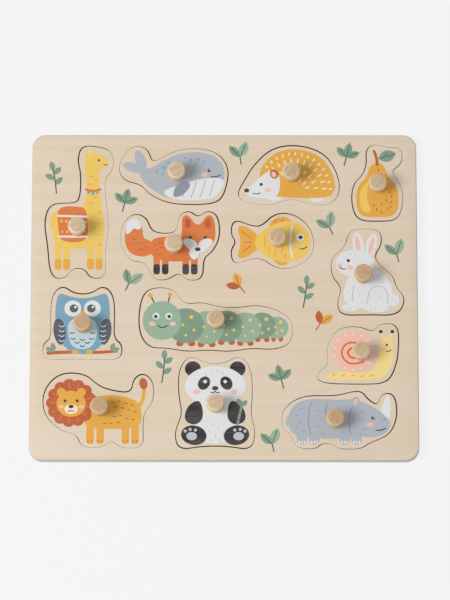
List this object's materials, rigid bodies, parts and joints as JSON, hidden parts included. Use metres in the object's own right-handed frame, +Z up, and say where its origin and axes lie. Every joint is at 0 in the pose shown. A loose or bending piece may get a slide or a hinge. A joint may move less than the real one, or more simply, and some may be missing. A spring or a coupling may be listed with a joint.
{
  "type": "peg puzzle",
  "caption": "Wooden peg puzzle: a flat two-layer board with shaped recesses, each holding a printed lift-out figure that is raised by its turned knob.",
  "frame": {"origin": "middle of the board's underside", "axes": "+X along the board's long side, +Y from the front edge to the back edge, +Z up out of the board's face"},
  "size_m": [0.34, 0.3, 0.026],
  "materials": {
    "printed_yellow": "sanded plywood with a matt printed face",
    "printed_grey": "sanded plywood with a matt printed face",
    "printed_ochre": "sanded plywood with a matt printed face",
    "printed_orange": "sanded plywood with a matt printed face",
    "printed_white": "sanded plywood with a matt printed face",
    "printed_blue": "sanded plywood with a matt printed face",
    "printed_green": "sanded plywood with a matt printed face",
    "printed_pink": "sanded plywood with a matt printed face",
    "plywood": "sanded plywood, clear matt varnish",
    "backing": "white-faced hardboard, matt",
    "knob_beech": "turned beech, clear matt varnish"
  },
  "bodies": {
    "board": {"backing_board": "backing", "tray": "plywood"},
    "llama": {"llama_piece": "printed_yellow", "llama_knob": "knob_beech"},
    "whale": {"whale_piece": "printed_grey", "whale_knob": "knob_beech"},
    "hedgehog": {"hedgehog_piece": "printed_ochre", "hedgehog_knob": "knob_beech"},
    "pear": {"pear_piece": "printed_ochre", "pear_knob": "knob_beech"},
    "fox": {"fox_piece": "printed_orange", "fox_knob": "knob_beech"},
    "fish": {"fish_piece": "printed_yellow", "fish_knob": "knob_beech"},
    "rabbit": {"rabbit_piece": "printed_white", "rabbit_knob": "knob_beech"},
    "owl": {"owl_piece": "printed_blue", "owl_knob": "knob_beech"},
    "inchworm": {"inchworm_piece": "printed_green", "inchworm_knob": "knob_beech"},
    "snail": {"snail_piece": "printed_pink", "snail_knob": "knob_beech"},
    "lion": {"lion_piece": "printed_ochre", "lion_knob": "knob_beech"},
    "panda": {"panda_piece": "printed_white", "panda_knob": "knob_beech"},
    "rhino": {"rhino_piece": "printed_grey", "rhino_knob": "knob_beech"}
  },
  "joints": [
    {"name": "llama_lift", "type": "slide", "parent": "board", "child": "llama", "axis": [0, 0, 1], "range_m": [0, 0.04]},
    {"name": "whale_lift", "type": "slide", "parent": "board", "child": "whale", "axis": [0, 0, 1], "range_m": [0, 0.04]},
    {"name": "hedgehog_lift", "type": "slide", "parent": "board", "child": "hedgehog", "axis": [0, 0, 1], "range_m": [0, 0.04]},
    {"name": "pear_lift", "type": "slide", "parent": "board", "child": "pear", "axis": [0, 0, 1], "range_m": [0, 0.04]},
    {"name": "fox_lift", "type": "slide", "parent": "board", "child": "fox", "axis": [0, 0, 1], "range_m": [0, 0.04]},
    {"name": "fish_lift", "type": "slide", "parent": "board", "child": "fish", "axis": [0, 0, 1], "range_m": [0, 0.04]},
    {"name": "rabbit_lift", "type": "slide", "parent": "board", "child": "rabbit", "axis": [0, 0, 1], "range_m": [0, 0.04]},
    {"name": "owl_lift", "type": "slide", "parent": "board", "child": "owl", "axis": [0, 0, 1], "range_m": [0, 0.04]},
    {"name": "inchworm_lift", "type": "slide", "parent": "board", "child": "inchworm", "axis": [0, 0, 1], "range_m": [0, 0.04]},
    {"name": "snail_lift", "type": "slide", "parent": "board", "child": "snail", "axis": [0, 0, 1], "range_m": [0, 0.04]},
    {"name": "lion_lift", "type": "slide", "parent": "board", "child": "lion", "axis": [0, 0, 1], "range_m": [0, 0.04]},
    {"name": "panda_lift", "type": "slide", "parent": "board", "child": "panda", "axis": [0, 0, 1], "range_m": [0, 0.04]},
    {"name": "rhino_lift", "type": "slide", "parent": "board", "child": "rhino", "axis": [0, 0, 1], "range_m": [0, 0.04]}
  ]
}
